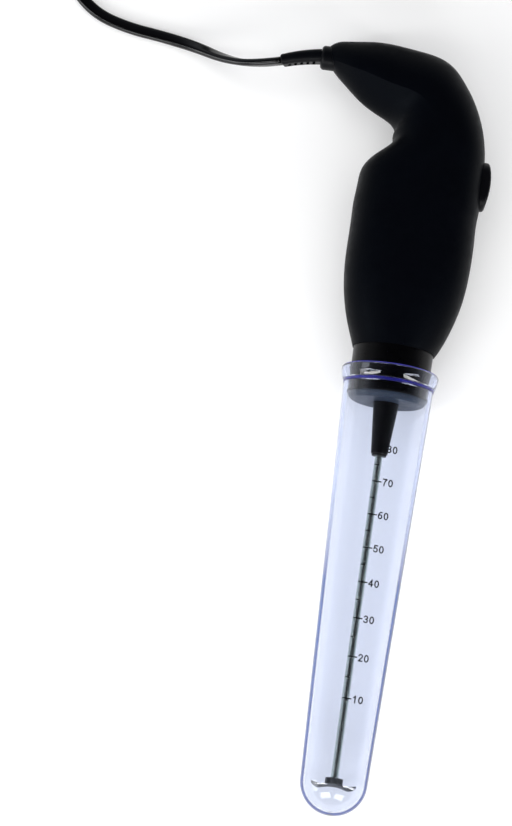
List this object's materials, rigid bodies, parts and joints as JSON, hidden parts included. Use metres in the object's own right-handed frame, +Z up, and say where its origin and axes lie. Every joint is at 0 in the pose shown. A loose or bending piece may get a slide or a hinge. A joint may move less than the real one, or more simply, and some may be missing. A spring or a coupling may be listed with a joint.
{
  "type": "handheld drink mixer",
  "caption": "Corded hand-held drink mixer with a hooked handle, thumb button, long shaft with a wavy disc and a clear graduated tube pushed over it.",
  "frame": {"origin": "middle of the flat on the underside of the grip, where the mixer rests on the table as it lies on its side", "axes": "+Y along the shaft axis from the tube's round bottom towards the handle, -X towards the nose and cord, +Z up from the table"},
  "size_m": [0.1913, 0.4033, 0.0402],
  "materials": {
    "handle_black": "soft-touch matte black",
    "stopper_black": "satin black",
    "cap_grey": "satin charcoal grey",
    "cone_black": "satin black",
    "seal_rubber": "black rubber",
    "bush_bronze": "sintered bronze",
    "shaft_steel": "polished stainless steel",
    "agitator_steel": "stamped stainless steel",
    "tube_clear": "clear moulded plastic with a faint blue tint",
    "button_black": "satin black",
    "spring_steel": "spring wire",
    "screw_steel": "zinc-plated steel",
    "switch_plastic": "moulded",
    "switch_red": "moulded",
    "inner_plastic": "moulded",
    "motor_steel": "plated steel",
    "motor_plastic": "moulded nylon",
    "magnet_ferrite": "ferrite",
    "brush_carbon": "carbon",
    "lamination_steel": "laminated steel",
    "winding_copper": "enamelled copper",
    "coupling_brass": "turned brass",
    "board_green": "circuit board",
    "component_black": "moulded",
    "capacitor_yellow": "moulded",
    "wire_insulation": "PVC insulation",
    "cord_black": "smooth black PVC",
    "relief_black": "moulded soft PVC",
    "tie_black": "moulded strap",
    "plug_black": "moulded PVC",
    "pin_nickel": "nickel-plated brass"
  },
  "bodies": {
    "handle": {"housing_right": "handle_black", "housing_left": "handle_black", "housing_screws": "screw_steel", "neck_collar": "stopper_black", "neck_cap": "cap_grey", "seal_ring": "seal_rubber", "bearing_cone": "cone_black", "cone_bush": "bush_bronze", "upper_bush": "bush_bronze", "shaft_seal": "seal_rubber", "button_spring": "spring_steel", "switch_body": "switch_plastic", "switch_bracket": "inner_plastic", "motor_can": "motor_steel", "motor_endcap": "motor_plastic", "motor_magnets": "magnet_ferrite", "motor_bushes": "bush_bronze", "motor_mount": "seal_rubber", "motor_brushes": "brush_carbon", "rectifier_board": "board_green", "rectifier_diodes": "component_black", "filter_capacitor": "capacitor_yellow", "lead_wires": "wire_insulation", "cord_inner": "cord_black", "cord_clamp": "inner_plastic", "clamp_screws": "screw_steel", "strain_relief": "relief_black", "cord_lead": "cord_black", "cord_coil": "cord_black", "coil_tie": "tie_black", "cord_tail": "cord_black", "plug_body": "plug_black", "plug_pins": "pin_nickel"},
    "button": {"power_button": "button_black", "switch_plunger": "switch_red"},
    "rotor": {"drive_shaft": "shaft_steel", "agitator_hub": "agitator_steel", "agitator_disc": "agitator_steel", "armature_core": "lamination_steel", "armature_windings": "winding_copper", "commutator": "winding_copper", "motor_shaft": "motor_steel", "shaft_coupling": "coupling_brass"},
    "tube": {"measuring_tube": "tube_clear"}
  },
  "joints": [
    {"name": "button_press", "type": "slide", "parent": "handle", "child": "button", "axis": [-1, 0, 0], "range_m": [0, 0.0016], "stiffness_N_per_m": 800, "springref_m": -0.0012, "deforming": ["button_spring"]},
    {"name": "shaft_spin", "type": "hinge", "parent": "handle", "child": "rotor", "pos_m": [0, 0, 0.0198], "axis": [0, 1, 0], "continuous": true},
    {"name": "tube_pull", "type": "slide", "parent": "handle", "child": "tube", "axis": [0, -1, 0], "range_m": [0, 0.175]}
  ]
}
